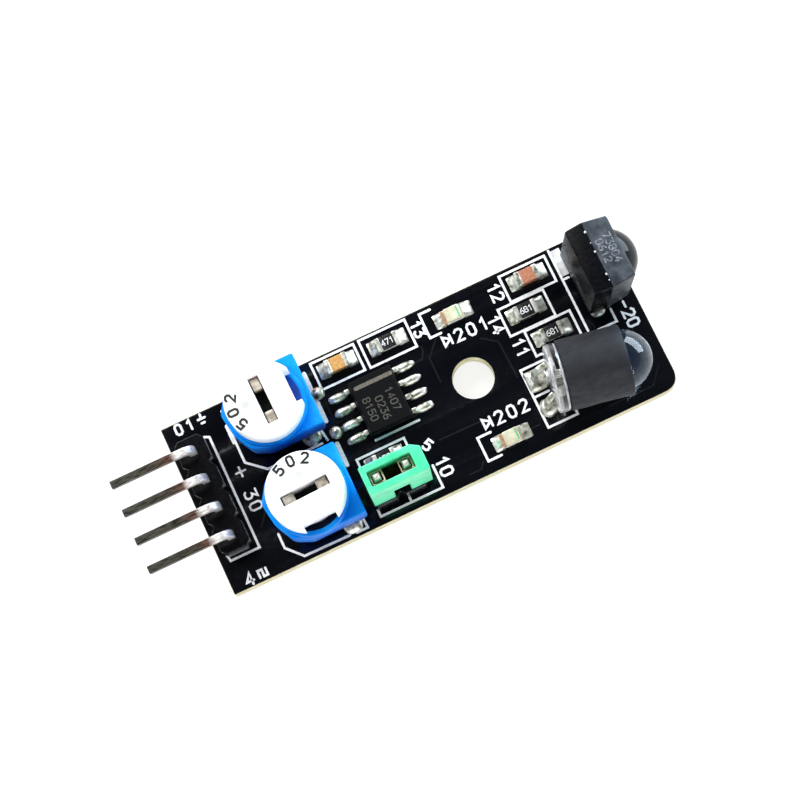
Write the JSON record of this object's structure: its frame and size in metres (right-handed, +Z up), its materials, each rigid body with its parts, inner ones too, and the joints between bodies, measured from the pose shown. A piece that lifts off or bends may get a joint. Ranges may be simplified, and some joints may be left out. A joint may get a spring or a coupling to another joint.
{
  "type": "infrared obstacle sensor board",
  "caption": "Small black circuit board with infrared emitter and receiver side by side at one end, a pin connector at the other, with trimmers, a timer chip, a jumper and a screw hole between.",
  "frame": {"origin": "centre of the board's underside", "axes": "+X along the board towards the sensor end, +Y across the board towards the receiver's side, +Z up out of the component side"},
  "size_m": [0.0469, 0.0156, 0.0115],
  "materials": {
    "solder_mask_board": "glossy near-black solder mask with faint tracks, over a cream glass-fibre laminate that shows at the edges",
    "black_plastic": "moulded black plastic, half gloss",
    "pin_metal": "plated square wire with drawn marks along it, dull grey",
    "blue_plastic": "bright blue moulded plastic, half gloss",
    "white_plastic": "white moulded plastic with fine grain",
    "wafer_ceramic": "brown ceramic wafer with a dark resistive ring",
    "spring_brass": "stamped spring brass, satin",
    "tinned_metal": "bright solder and tinned copper, rounded and slightly uneven",
    "green_plastic": "mint-green moulded plastic, half gloss",
    "chip_epoxy": "fine-grained black moulding compound with a dim tan stripe",
    "resistor_glaze": "black glaze with white figures between plated ends",
    "tan_ceramic": "tan ceramic between plated ends",
    "brown_ceramic": "reddish-brown ceramic between plated ends",
    "lamp_resin": "milky resin over a white base, with a brown end mark and a green polarity line",
    "sleeve_plastic": "shrunk black sleeve, dull, with faint lengthwise wrinkles",
    "clear_resin": "water-clear cast resin with a dark centre",
    "dark_resin": "infrared-pass smoky black resin: satin block, glossy dome"
  },
  "bodies": {
    "board": {"circuit_board": "solder_mask_board", "header_strip": "black_plastic", "jumper_header_base": "black_plastic", "header_pin_1": "pin_metal", "header_pin_2": "pin_metal", "header_pin_3": "pin_metal", "header_pin_4": "pin_metal", "jumper_pin_1": "pin_metal", "jumper_pin_2": "pin_metal", "trimmer_1_housing": "blue_plastic", "trimmer_1_wafer": "wafer_ceramic", "trimmer_1_terminal_1": "tinned_metal", "trimmer_1_terminal_2": "tinned_metal", "trimmer_1_terminal_3": "tinned_metal", "trimmer_2_housing": "blue_plastic", "trimmer_2_wafer": "wafer_ceramic", "trimmer_2_terminal_1": "tinned_metal", "trimmer_2_terminal_2": "tinned_metal", "trimmer_2_terminal_3": "tinned_metal", "timer_chip_body": "chip_epoxy", "timer_chip_lead_1": "tinned_metal", "timer_chip_lead_2": "tinned_metal", "timer_chip_lead_3": "tinned_metal", "timer_chip_lead_4": "tinned_metal", "timer_chip_lead_5": "tinned_metal", "timer_chip_lead_6": "tinned_metal", "timer_chip_lead_7": "tinned_metal", "timer_chip_lead_8": "tinned_metal", "capacitor_1": "tan_ceramic", "capacitor_2": "brown_ceramic", "resistor_1": "resistor_glaze", "resistor_2": "resistor_glaze", "resistor_3": "resistor_glaze", "resistor_4": "resistor_glaze", "power_lamp": "lamp_resin", "signal_lamp": "lamp_resin", "emitter_lens": "clear_resin", "emitter_sleeve": "sleeve_plastic", "emitter_lead_1": "tinned_metal", "emitter_lead_2": "tinned_metal", "receiver_body": "dark_resin", "receiver_lead_1": "tinned_metal", "receiver_lead_2": "tinned_metal", "receiver_lead_3": "tinned_metal"},
    "trimmer_1_dial": {"trimmer_1_rotor": "white_plastic", "trimmer_1_wiper": "spring_brass"},
    "trimmer_2_dial": {"trimmer_2_rotor": "white_plastic", "trimmer_2_wiper": "spring_brass"},
    "jumper": {"jumper_cap": "green_plastic", "jumper_clip": "spring_brass"}
  },
  "joints": [
    {"name": "trimmer_1_turn", "type": "hinge", "parent": "board", "child": "trimmer_1_dial", "pos_m": [-0.01132, 0.0046, 0.0091], "axis": [0, 0, 1], "range_deg": [-150, 60]},
    {"name": "trimmer_2_turn", "type": "hinge", "parent": "board", "child": "trimmer_2_dial", "pos_m": [-0.01132, -0.00353, 0.0091], "axis": [0, 0, 1], "range_deg": [-60, 150]},
    {"name": "jumper_pull", "type": "slide", "parent": "board", "child": "jumper", "axis": [0, 0, 1], "range_m": [0, 0.007]}
  ]
}
